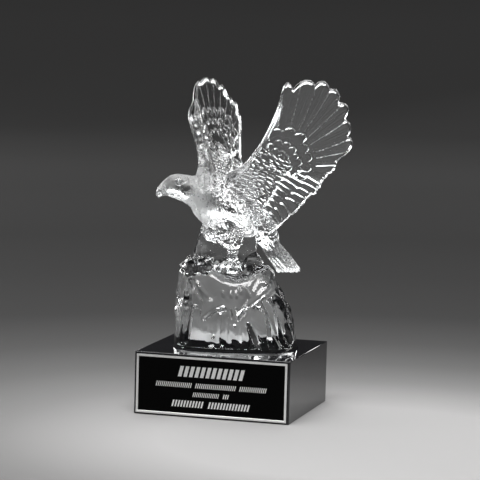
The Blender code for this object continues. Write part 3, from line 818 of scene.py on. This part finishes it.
def bird_relief(spots):
    """Feathers of head, neck, mantle, breast, thighs and tail."""
    a, l, z = measure(spots, BIRD)
    ha, hl, hz = measure(spots, HEAD)
    along = -0.894 * (a - 26) - 0.447 * (z - 97)
    above = -0.447 * (a - 26) + 0.894 * (z - 97)
    around = np.arctan2(l, above)
    on_head = step_up(ha, 2, 8)
    on_tail = step_up(along, 50, 58)
    on_thigh = step_up(-z, -80, -74) * step_up(a, -4, 1) * (1 - on_tail)
    on_body = (1 - on_head) * (1 - on_tail) * (1 - on_thigh)
    mantle = 1 - step_up(np.abs(around), 1.2, 1.7)
    relief = on_body * mantle * scales(around * 13 / 3.2, along / 3.6, 0.3)
    # Smooth flanks with long grooves
    flank = on_body * (1 - mantle)
    groove = np.sin(around * 13 / 1.15 + 1.2 * np.sin(along / 9) + ripple(a, l, z, 9))
    relief += flank * (0.28 * groove * step_up(along, 4, 12) + 0.3 * ripple(a, l, z, 5))
    small = scales(around * 13 / 2.2, along / 3.2, 0.5)
    relief += flank * 0.5 * small * (1 - 0.6 * step_up(along, 8, 18))
    relief += on_body * mantle * 0.4 * ripple(a, l, z, 4)

    # Feathers of the head, away from beak and eye
    turn = np.arctan2(hl, hz - 103.5)
    socket = distance(ha, hz, SOCKET)
    feathered = on_head * (1 - step_up(ha, 18.5, 20.5)) * (1 - bell(socket, 3.6))
    relief += feathered * 0.4 * scales(turn * 9 / 1.7, (30 - ha) / 2.6, 0.4)
    relief += feathered * 0.25 * ripple(ha, hl, hz, 1.6)
    # Brow, socket, cheek, gape, the beak's root and nostril
    side = np.clip((np.abs(hl) - 2) / 2, 0, 1)
    edge = np.clip(np.abs(hl), 0, 1)
    relief += 0.55 * side * bell(segment_share(ha, hz, *BROW)[1], 1.1)
    relief -= 0.45 * side * bell(socket, 2)
    relief -= 0.6 * side * bell(np.hypot((ha - CHEEK[0]) / 1.4, hz - CHEEK[1]), 2.2)
    relief -= 0.35 * edge * bell(segment_share(ha, hz, *GAPE)[1], 0.5)
    relief += 0.2 * bell(segment_share(ha, hz, *CERE)[1] - 0.6, 0.6)
    relief -= 0.5 * edge * bell(distance(ha, hz, NOSTRIL), 0.7)

    legs = np.abs(l) - LEG_SPREAD
    relief += on_thigh * (1.2 * scales((np.arctan2(legs, a - 11) * 7) / 2, (92 - z) / 2.3, 0.3)
                          + 0.35 * ripple(a, l, z, 2.2))
    width = np.interp(along, (50, 76), (7.5, 12.6))
    plume = l / width * TAIL_FEATHERS / 2
    relief += on_tail * (0.7 * np.abs(np.cos(plume * pi)) ** 0.6 - 0.3 * bell(np.mod(plume, 1) - 0.5, 0.08))
    relief += on_tail * 0.22 * np.sin(l * 2.9 + 0.8 * np.sin(along * 0.35))
    return relief


def rock_top_relief(spots):
    """Smooth sides of the pinnacle, and melted folds round its foot."""
    a, l, z = measure(spots, BIRD)
    low = 1 - step_up(z, 56, 62)
    folds = bell(ripple(a, l, z, 9), 0.14)
    return (0.06 + 1.3 * low) * ripple(a, l, z, 5.6) - 1.1 * low * folds


def eye(side, around=28, sides=10):
    """A ball in a raised ring, set in the side of the head."""
    middle = Vector((EYE[0], side * EYE_ASIDE, EYE[1]))
    out = Vector((0.1, side, 0.06)).normalized()
    first = Vector((1, 0, 0)).cross(out).normalized()
    second = out.cross(first)
    rows = []
    for i in range(around):
        turn = 2 * pi * i / around
        radial = first * cos(turn) + second * sin(turn)
        row = []
        for k in range(sides):
            roll = 2 * pi * k / sides
            row.append(middle + radial * (1.75 + 0.5 * cos(roll)) + out * (0.3 + 0.6 * sin(roll)))
        rows.append(place(row, HEAD))
    ring = hoop("eye_ring", rows)
    return [ring, lump(HEAD, middle - out * 0.5, (1.05, 1.05, 1.05), 12, 18)]


def drop_crumbs(piece, least=1000):
    """Removes closed specks that the fusing left beside the casting."""
    mesh = bmesh.new()
    mesh.from_mesh(piece.data)
    seen = set()
    crumbs = []
    for start in mesh.verts:
        if start in seen:
            continue
        seen.add(start)
        group = [start]
        for vert in group:
            others = {edge.other_vert(vert) for edge in vert.link_edges} - seen
            seen |= others
            group += others
        if len(group) < least:
            crumbs += group
    bmesh.ops.delete(mesh, geom=crumbs, context="VERTS")
    mesh.to_mesh(piece.data)
    mesh.free()


def casting():
    """The eagle and its rock, fused into one piece of glass."""
    soft = [loft(BODY_SECTIONS, BIRD, 40, 56), loft(HEAD_SECTIONS, HEAD, 48, 48),
            loft(TAIL_SECTIONS, BIRD, 26, 56, skew=TAIL_SKEW, twist=TAIL_TWIST)]
    stiff = [rock()]
    for side in (1, -1):
        hip = side * LEG_SPREAD
        soft.append(loft(THIGH_SECTIONS, BIRD, 20, 30, side=hip))
        soft.append(tube(BIRD, SHIN_PATH, 16, 20, hip))
        soft.append(lump(BIRD, (15, side * 8.5, 103), (12, 6, 9)))
        stiff += [toe(BIRD, angle, length, hip) for angle, length in TOES]
        stiff += eye(side)
    top = [web()]
    top += [lump(BIRD, row[:3], row[3:]) for row in LUMPS]
    top += [lump(BIRD, row[:3], row[3:] * 3, 12, 16) for row in KNOBS]

    body = melted("body_skin", soft, BODY_VOXEL)
    relax(body.data, 16, bird_softness)
    displace(body.data, bird_relief)
    crest = melted("crest_skin", top, CREST_VOXEL)
    relax(crest.data, 8, lambda spots: np.ones(len(spots)))
    displace(crest.data, rock_top_relief)

    wings = [wing(1, NEAR_WING), wing(-1, FAR_WING)]
    made = union("crystal_eagle", [body, crest, *wings, *stiff])
    drop_crumbs(made)
    return made


def satin(piece):
    """Stores how satin each part of the casting is, and how misty its back."""
    spots = vectors(piece.data)
    ha, _, hz = measure(spots, HEAD)
    units = np.stack(measure(spots, BIRD), axis=1)
    a, l, z = units.T
    on_head = step_up(ha, -14, 4) * between(hz, 78, 84, 113, 115)
    # Clear spots: eye, nostril, cheek and gape
    to_eye = distance(ha, hz, EYE)
    clear = bell(to_eye - 1.9, 1) + bell(distance(ha, hz, NOSTRIL), 0.8)
    clear += bell(to_eye, 1.2)
    clear += bell(np.hypot((ha - CHEEK[0]) / 1.4, hz - CHEEK[1]), 2.4)
    clear += bell(segment_share(ha, hz, *GAPE)[1], 0.7)
    on_head *= 1 - 0.85 * np.clip(clear, 0, 1)
    on_head *= 1 - 0.6 * step_up(ha, 9, 13) * (1 - step_up(hz, 101.5, 104.5))
    on_flank = between(z, 68, 76, 94, 102) * (1 - step_up(np.abs(l), 13, 16))
    on_flank *= step_up(a, -30, -20)

    on_lines = np.zeros(len(spots))
    for side, spec in ((1, NEAR_WING), (-1, FAR_WING)):
        x, y, off = on_wing(units, side)
        seen = (off * spec["seen"] > 0) * (np.abs(off) < 7) * (l * side > 12)
        _, lines = wing_half(x, y, np.full(len(spots), 5.0), spec, 1.0)
        on_lines = np.maximum(on_lines, lines * seen)
    x, y, _ = on_wing(units, -1)
    on_rod = (1 - step_up(rod_distance(x, y, FAR_WING), 4, 9)) * (l < -12) * (z > 108)
    height = (spots[:, 2] - BLOCK_HEIGHT) / UNIT
    on_back = step_up(spots @ ROCK_BACK / UNIT, 4, 12) * (1 - step_up(height, 46, 53))
    on_back *= between(spots @ ROCK_ACROSS / UNIT, -36, -22, 10, 32)
    on_back *= 1 + 0.7 * (1 - step_up(height, 10, 20))
    on_tail = step_up(-a, 26, 32) * between(z, 44, 45, 70, 76)
    share = 1.05 * on_head + 0.4 * on_flank + 0.5 * on_rod + 0.7 * on_tail + on_lines
    for mask, values in (("satin", np.clip(share, 0, 1.25)), ("misty", on_back)):
        layer = piece.data.attributes.new(mask, "FLOAT", "POINT")
        layer.data.foreach_set("value", values)


def dressed(piece, material, angle=0):
    """Gives a piece its material, and smooth shading with sharp edges above an angle."""
    piece.data.materials.append(material)
    if angle:
        piece.data.shade_smooth()
        piece.data.set_sharp_from_angle(angle=radians(angle))
    return piece


def feed(node, values):
    """Sets a node's inputs, each to a plain value or to another node's output."""
    for socket, value in values.items():
        if isinstance(value, bpy.types.NodeSocket):
            node.id_data.links.new(value, node.inputs[socket])
        else:
            node.inputs[socket].default_value = value


def output(tree, kind, name, values, **settings):
    """An output of a new shader node with its settings and fed inputs."""
    node = tree.nodes.new("ShaderNode" + kind)
    for key, value in settings.items():
        setattr(node, key, value)
    feed(node, values)
    return node.outputs[name]


def material(name, look):
    """A material whose shader is fed with what the look gives for its node tree."""
    made = bpy.data.materials.new(name)
    made.use_nodes = True
    feed(made.node_tree.nodes["Principled BSDF"], look(made.node_tree))
    return made


def textured(tree, scale, detail, distortion=0):
    """Noise in the object's own coordinates."""
    where = output(tree, "TexCoord", "Object", {})
    return output(tree, "TexNoise", "Fac", {
        "Vector": where, "Scale": scale, "Detail": detail, "Distortion": distortion})


def masked(tree, name):
    """A value that is stored on the piece's vertices."""
    return output(tree, "Attribute", "Fac", {}, attribute_name=name)


def ranged(tree, source, low, high, start=0, end=1):
    """Maps a value from one range to another."""
    return output(tree, "MapRange", "Result", {
        "Value": source, "From Min": start, "From Max": end, "To Min": low, "To Max": high})


def multiply_add(tree, first, factor, rest):
    """The first value times a factor, plus the rest."""
    return output(tree, "Math", "Value", {0: first, 1: factor, 2: rest}, operation="MULTIPLY_ADD")


def tinted(tree, source, tones):
    """A colour that follows the source through tones at given places."""
    colour = output(tree, "ValToRGB", "Color", {"Fac": source})
    stops = colour.node.color_ramp.elements
    while len(stops) < len(tones):
        stops.new(0.5)
    for stop, (place, tone) in zip(stops, tones):
        stop.position = place
        stop.color = (*tone, 1)
    return colour


def bumped(tree, height, strength, depth):
    """A normal that follows a height."""
    return output(tree, "Bump", "Normal", {"Height": height, "Strength": strength, "Distance": depth})


def crystal_look(tree):
    """Clear lead glass, with the faint waviness and haze of a pressed casting."""
    feathers = masked(tree, "satin")
    clear = ranged(tree, textured(tree, 420, 4), 0, 0.04, 0.45, 0.75)
    rough = ranged(tree, textured(tree, 900, 2, 0.6), 0.16, 0.5, 0.25, 0.75)
    level = multiply_add(tree, masked(tree, "misty"), 0.32, clear)
    wave = textured(tree, 260, 3, 0.4)
    frost = multiply_add(tree, textured(tree, 1300, 2), ranged(tree, feathers, 0, 2.4), wave)
    return {"Base Color": (0.97, 0.985, 0.99, 1), "Transmission Weight": 1, "IOR": 1.52,
            "Roughness": multiply_add(tree, feathers, rough, level),
            "Normal": bumped(tree, frost, 0.12, 0.0006)}


def black_glass_look(tree):
    """Polished black glass with a trace of dust."""
    dust = ranged(tree, textured(tree, 900, 5), 0.01, 0.04, 0.5, 0.8)
    return {"Base Color": (0.004, 0.004, 0.005, 1), "IOR": 1.52, "Roughness": dust}


def glue_look(tree):
    """Black glue, with a faint mottle."""
    mottle = textured(tree, 700, 3)
    tint = tinted(tree, mottle, ((0, (0.003, 0.003, 0.003)), (1, (0.012, 0.012, 0.013))))
    return {"Base Color": tint, "Specular IOR Level": 0, "Roughness": ranged(tree, mottle, 0.3, 0.5)}


def plate_look(tree):
    """Black lacquered brass with a fine satin grain."""
    grain = textured(tree, 1600, 4)
    return {"Base Color": (0.0015, 0.0015, 0.0015, 1), "Specular IOR Level": 0,
            "Roughness": ranged(tree, grain, 0.28, 0.42), "Normal": bumped(tree, grain, 0.05, 0.00002)}


def silver_look(tree):
    """Bright brushed silver, as cut through the lacquer."""
    grain = textured(tree, 1400, 4)
    tint = tinted(tree, grain, ((0, (0.88, 0.88, 0.87)), (1, (0.97, 0.97, 0.96))))
    return {"Base Color": tint, "Metallic": 1, "Roughness": ranged(tree, grain, 0.3, 0.5),
            "Normal": bumped(tree, grain, 0.08, 0.00002)}


def slab(name, low, high, bevel, segments):
    """A box with rounded edges, and a narrow rim round each flat face."""
    mesh = bmesh.new()
    bmesh.ops.create_cube(mesh, size=1)
    bmesh.ops.scale(mesh, vec=Vector(high) - Vector(low), verts=mesh.verts)
    bmesh.ops.translate(mesh, vec=(Vector(high) + Vector(low)) / 2, verts=mesh.verts)
    bmesh.ops.bevel(mesh, geom=list(mesh.edges), offset=bevel, segments=segments, profile=0.5, affect="EDGES")
    flat = sorted(mesh.faces, key=lambda face: face.calc_area())[-6:]
    bmesh.ops.inset_individual(mesh, faces=flat, thickness=bevel * 0.3)
    return finish(name, mesh)


def glue_film(sides=96):
    """The film of glue that the rock sits in, with a bead round its foot."""
    _, middle, half_width, half_depth = ROCK_SECTIONS[0]
    turn = circle(sides)
    rows = []
    for inset, height in GLUE_PROFILE:
        x, y = rock_outline(turn, middle, half_width - inset, half_depth - inset)
        row = rock_spots(x, y, np.zeros(sides))
        row[:, 2] += height * UNIT
        rows.append(row)
    return solid(rows, "glue_film")


BLOCK_BEVEL = 0.0003
# Glue: distance inside the rock's foot and height, in units
GLUE_PROFILE = ((-0.5, -GLUE_GAP / UNIT), (-0.45, 0), (-0.2, 0.25), (0, 0.35), (0.6, 0.35))
PLATE_BEVEL = 0.0001
BORDER = 0.00145
BORDER_PROFILE = ((0, 0.0004), (0.00005, 0.00002), (0.00015, 0), (BORDER - 0.0001, 0),
                  (BORDER, 0.00005), (BORDER, 0.0004))
# Behind the border's face: the sheet, then the strokes' faces; how far they are set into the sheet
RAISE = 0.00012
STROKE_DEPTH = 0.00003
STROKE_SUNK = 0.0001
# Rows of strokes: height of the middle, height, thickness, gap, and where each group starts and ends
ROWS = (
    (0.0294, 0.0068, 0.0023, 0.0013, ((-0.0220, 0.0220),)),
    (0.0207, 0.0031, 0.00062, 0.00066, ((-0.0365, -0.0125), (-0.0105, 0.0165), (0.0185, 0.0365))),
    (0.0150, 0.0029, 0.00056, 0.00064, ((-0.0120, 0.0055), (0.0078, 0.0120))),
    (0.0088, 0.0042, 0.00105, 0.00085, ((-0.0258, -0.0045), (-0.0018, 0.0258))),
)
LEAN = 0.25


def plate_border():
    """The silver border round the plate's edge."""
    x0, y0, z0 = PLATE_LOW
    x1, _, z1 = PLATE_HIGH
    rows = []
    for cx, cz, sx, sz in ((x0, z0, 1, 1), (x1, z0, -1, 1), (x1, z1, -1, -1), (x0, z1, 1, -1)):
        rows.append([(cx + sx * off, y0 + depth, cz + sz * off) for off, depth in BORDER_PROFILE])
    return hoop("plate_border", rows)


def plate_strokes():
    """Rows of slanting strokes that stand for the engraving."""
    mesh = bmesh.new()
    depths = (PLATE_LOW[1] + STROKE_DEPTH, PLATE_LOW[1] + RAISE + STROKE_SUNK)
    for middle, tall, thick, gap, groups in ROWS:
        low = middle - tall / 2
        high = middle + tall / 2
        lean = tall * LEAN
        for start, end in groups:
            count = max(round((end - start - lean + gap) / (thick + gap)), 1)
            pitch = (end - start - lean + gap) / count
            wide = pitch - gap
            for k in range(count):
                x = start + k * pitch
                corners = ((x, low), (x + wide, low), (x + wide + lean, high), (x + lean, high))
                front, rear = bands(mesh, [[(cx, y, cz) for cx, cz in corners] for y in depths])
                mesh.faces.new(front)
                mesh.faces.new(rear[::-1])
    return finish("plate_strokes", mesh)


def dress():
    """Builds the visible pieces and ties them to the frame."""
    eagle = dressed(casting(), material("clear_glass", crystal_look), 48)
    satin(eagle)
    base = slab("glass_block", BLOCK_LOW, BLOCK_HIGH, BLOCK_BEVEL, 4)
    dressed(base, material("black_glass", black_glass_look), 40)
    glue = dressed(glue_film(), material("black_glue", glue_look), 30)
    sheet_low = (PLATE_LOW[0], PLATE_LOW[1] + RAISE, PLATE_LOW[2])
    field = slab("plate_field", sheet_low, PLATE_HIGH, PLATE_BEVEL, 2)
    dressed(field, material("black_plate", plate_look), 40)
    silver = material("silver_line", silver_look)
    border = dressed(plate_border(), silver)
    strokes = dressed(plate_strokes(), silver)
    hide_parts("eagle_and_rock")
    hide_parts("base_block")
    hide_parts("name_plate")
    pieces = (eagle, base, glue, field, border, strokes)
    for piece in pieces:
        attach(piece, "root")


# Studio: a pool of light is painted into the floor's colour, with its middle in front of the object
PAINTED_POOL_MIDDLE = (0.1, -0.08)
SWEEP_FLAT = 1.5
SWEEP_RADIUS = 3.4
SWEEP_HEIGHT = 2.6
# The floor's painted light: its tone by distance from the painted pool, pale near the object and painted
# darker grey further off
PAINTED_POOL_TONES = ((0, 0.217), (0.12, 0.217), (0.22, 0.1125), (0.3, 0.0685), (0.4, 0.0418), (0.55, 0.0241),
         (0.8, 0.0208), (1.1, 0.0203), (1.6, 0.0315), (2.4, 0.067))
ROOM_BRIGHTNESS = 0.02
LIGHT_TARGET = Vector((0, 0, 0.12))
# Lights: azimuth, elevation, distance, width, height and power
LIGHTS = (
    ("top_light", 15.8, 86, 1.1, 1.1, 1, 10),
    ("back_light", 195.8, 60, 1.4, 1.2, 0.7, 8.5),
    ("back_middle_light", 195.8, 38, 1.5, 1.4, 0.5, 5),
    ("back_low_light", 195.8, 11.5, 1.8, 1.4, 0.22, 2.4),
    ("back_strip_light", 215, 11.5, 1.8, 2.4, 0.16, 3.5),
    ("back_left_light", 235, 9, 1.8, 1, 0.3, 6),
    ("left_back_light", 250, 10, 1.8, 1, 0.3, 8),
    ("back_edge_light", 178, 11.5, 1.8, 0.5, 0.22, 1.6),
    ("right_back_light", 125, 22, 1.5, 0.6, 0.9, 3.6),
    ("back_right_light", 150, 45, 1.4, 0.8, 0.8, 2),
    ("left_light", -75, 20, 1.4, 0.5, 0.8, 9),
    ("front_left_light", -30, 50, 1.5, 0.8, 0.8, 15),
    ("front_light", 15.8, 55, 1.6, 1, 0.8, 38),
    ("right_light", 105, 14, 1.4, 0.5, 0.9, 3),
)
CAMERA_AZIMUTH = 15.81
CAMERA_ELEVATION = 6.53
CAMERA_ROLL = 1.5
CAMERA_LENS = 200
CAMERA_DISTANCE = 1.716
CAMERA_ASIDE = 0.00277
CAMERA_HEIGHT = 0.10906


def painted_pool_floor_look(tree):
    """Pale paper with a painted pool of light, painted darker grey away from the object."""
    where = output(tree, "NewGeometry", "Position", {})
    # Painted light: the floor's colour follows the distance from the middle of the painted pool of light
    gap = output(tree, "VectorMath", "Value", {0: where, 1: (*PAINTED_POOL_MIDDLE, 0)}, operation="DISTANCE")
    tones = [(far / SWEEP_RADIUS, (tone, tone * 0.99, tone * 0.985)) for far, tone in PAINTED_POOL_TONES]
    tint = tinted(tree, ranged(tree, gap, 0, 1, 0, SWEEP_RADIUS), tones)
    return {"Base Color": tint, "Roughness": 0.9, "Specular IOR Level": 0.02}


def sweep(sides=96, steps=12):
    """A floor that curves up into a wall all round."""
    profile = [(r, 0) for r in (0.25, 0.6, 1, SWEEP_FLAT)]
    bend = SWEEP_RADIUS - SWEEP_FLAT
    for k in range(1, steps + 1):
        turn = pi / 2 * k / steps
        profile.append((SWEEP_FLAT + bend * sin(turn), bend * (1 - cos(turn))))
    profile.append((SWEEP_RADIUS, SWEEP_HEIGHT))
    turns = [2 * pi * k / sides for k in range(sides)]
    mesh = bmesh.new()
    rings = bands(mesh, [[(r * cos(turn), r * sin(turn), height) for turn in turns] for r, height in profile])
    mesh.faces.new(rings[0])
    made = dressed(finish("studio_sweep", mesh), material("studio_paper_painted_pool", painted_pool_floor_look))
    made.data.shade_smooth()


def compass(azimuth, elevation):
    """The direction at an azimuth, 0 in front and 90 to the right, and an elevation."""
    a = radians(azimuth)
    e = radians(elevation)
    return Vector((sin(a) * cos(e), -cos(a) * cos(e), sin(e)))


def studio():
    """Floor, lights and the dim room."""
    sweep()
    for name, azimuth, elevation, away, width, height, power in LIGHTS:
        lamp = bpy.data.lights.new(name, "AREA")
        lamp.shape = "RECTANGLE"
        lamp.size = width
        lamp.size_y = height
        lamp.energy = power
        made = link(name, lamp)
        towards = compass(azimuth, elevation)
        made.location = LIGHT_TARGET + towards * away
        made.rotation_euler = (-towards).to_track_quat("-Z", "Y").to_euler()
        made.visible_camera = False
    room = bpy.data.worlds.new("room")
    bpy.context.scene.world = room
    room.use_nodes = True
    sky = room.node_tree.nodes["Background"]
    sky.inputs["Color"].default_value = (0.9, 0.95, 1, 1)
    sky.inputs["Strength"].default_value = ROOM_BRIGHTNESS
    bpy.context.scene.view_settings.view_transform = "Standard"


def camera():
    """The camera, at the photograph's height and angle."""
    back = compass(CAMERA_AZIMUTH, CAMERA_ELEVATION)
    turn = radians(CAMERA_AZIMUTH)
    roll = radians(CAMERA_ROLL)
    right = Vector((cos(turn), sin(turn), 0))
    up = back.cross(right)
    lens = bpy.data.cameras.new("camera")
    lens.lens = CAMERA_LENS
    lens.clip_end = 20
    made = link("camera", lens)
    pose = Matrix((right * cos(roll) + up * sin(roll), up * cos(roll) - right * sin(roll), back))
    pose = pose.transposed().to_4x4()
    pose.translation = right * CAMERA_ASIDE + Vector((0, 0, CAMERA_HEIGHT)) + back * CAMERA_DISTANCE
    made.matrix_world = pose
    bpy.context.scene.camera = made


camera()
dress()
studio()
